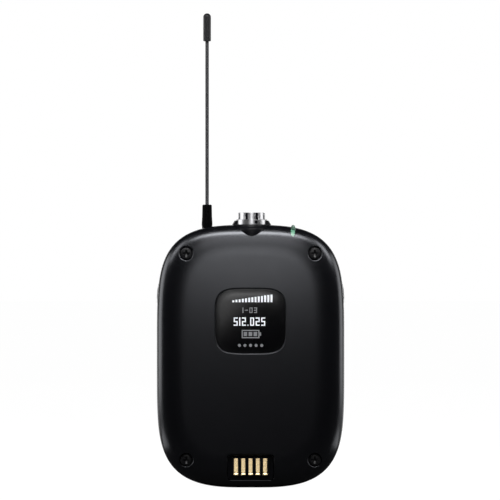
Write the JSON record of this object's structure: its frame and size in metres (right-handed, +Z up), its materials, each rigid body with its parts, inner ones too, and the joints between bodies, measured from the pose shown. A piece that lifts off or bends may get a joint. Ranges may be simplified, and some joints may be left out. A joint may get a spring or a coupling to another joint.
{
  "type": "wireless bodypack transmitter",
  "caption": "Pillow-shaped bodypack radio transmitter with display window, charging contacts, whip antenna, mini connector, hinged battery door and wire belt clip.",
  "frame": {"origin": "middle of the flat foot under the case, at mid-depth of the body", "axes": "+Z up along the antenna, -Y out of the front face with the display, +X to the right seen from the front"},
  "size_m": [0.0682, 0.0327, 0.1724],
  "materials": {
    "case_black": "satin moulded black with fine grain",
    "gloss_black": "smooth black moulding",
    "seal_rubber": "matt black rubber",
    "soft_black": "smooth soft black sleeve",
    "black_steel": "black oxide",
    "brass": "turned brass",
    "gold": "gold plated",
    "clear_window": "clear dark polished window",
    "panel_black": "black display panel",
    "board_green": "solder mask",
    "steel": "bright steel",
    "nickel": "polished nickel plate",
    "spring_steel": "drawn spring wire, plated",
    "green_lens": "clear green moulding, lit",
    "grey_plastic": "dark grey moulding",
    "dark_red": "dark red window",
    "battery_black": "moulded battery case"
  },
  "bodies": {
    "housing": {"front_cover": "case_black", "rear_housing": "case_black", "case_seal": "seal_rubber", "case_screws": "black_steel", "threaded_inserts": "brass", "display_window": "clear_window", "display_panel": "panel_black", "display_pad": "seal_rubber", "contact_block": "gloss_black", "charging_contacts": "gold", "main_board": "board_green", "board_screws": "steel", "shield_can": "steel", "connector_collar": "gloss_black", "connector_barrel": "nickel", "connector_nut": "nickel", "connector_insert": "gloss_black", "connector_pins": "gold", "antenna_base": "brass", "antenna_boot": "soft_black", "antenna_whip": "soft_black", "antenna_tip": "soft_black", "light_pipe": "green_lens", "light_source": "green_lens", "switch_body": "grey_plastic", "control_board": "board_green", "tact_switches": "steel", "infrared_window": "dark_red", "battery_pack": "battery_black", "battery_contacts": "gold", "hinge_pin": "steel"},
    "door": {"battery_door": "case_black", "clip_bracket": "case_black", "bracket_screws": "steel"},
    "clip": {"belt_clip": "spring_steel"},
    "latch_left": {"left_latch": "case_black"},
    "latch_right": {"right_latch": "case_black"},
    "slider": {"switch_slider": "grey_plastic"},
    "button_left": {"left_button": "grey_plastic"},
    "button_right": {"right_button": "grey_plastic"}
  },
  "joints": [
    {"name": "door_hinge", "type": "hinge", "parent": "housing", "child": "door", "pos_m": [0, 0.01015, 0.0095], "axis": [-1, 0, 0], "range_deg": [0, 90]},
    {"name": "clip_pivot", "type": "hinge", "parent": "door", "child": "clip", "pos_m": [0, 0.01635, 0.0664], "axis": [1, 0, 0], "range_deg": [0, 15], "stiffness_Nm_per_rad": 0.1, "springref_deg": -22.92},
    {"name": "left_latch_slide", "type": "slide", "parent": "housing", "child": "latch_left", "axis": [1, 0, 0], "range_m": [0, 0.0012], "stiffness_N_per_m": 400, "springref_m": -0.001},
    {"name": "right_latch_slide", "type": "slide", "parent": "housing", "child": "latch_right", "axis": [-1, 0, 0], "range_m": [0, 0.0012], "stiffness_N_per_m": 400, "springref_m": -0.001},
    {"name": "power_slide", "type": "slide", "parent": "housing", "child": "slider", "axis": [-1, 0, 0], "range_m": [0, 0.0036]},
    {"name": "left_button_press", "type": "slide", "parent": "housing", "child": "button_left", "axis": [0, -1, 0], "range_m": [0, 0.0005], "stiffness_N_per_m": 400, "springref_m": -0.001},
    {"name": "right_button_press", "type": "slide", "parent": "housing", "child": "button_right", "axis": [0, -1, 0], "range_m": [0, 0.0005], "stiffness_N_per_m": 400, "springref_m": -0.001}
  ]
}
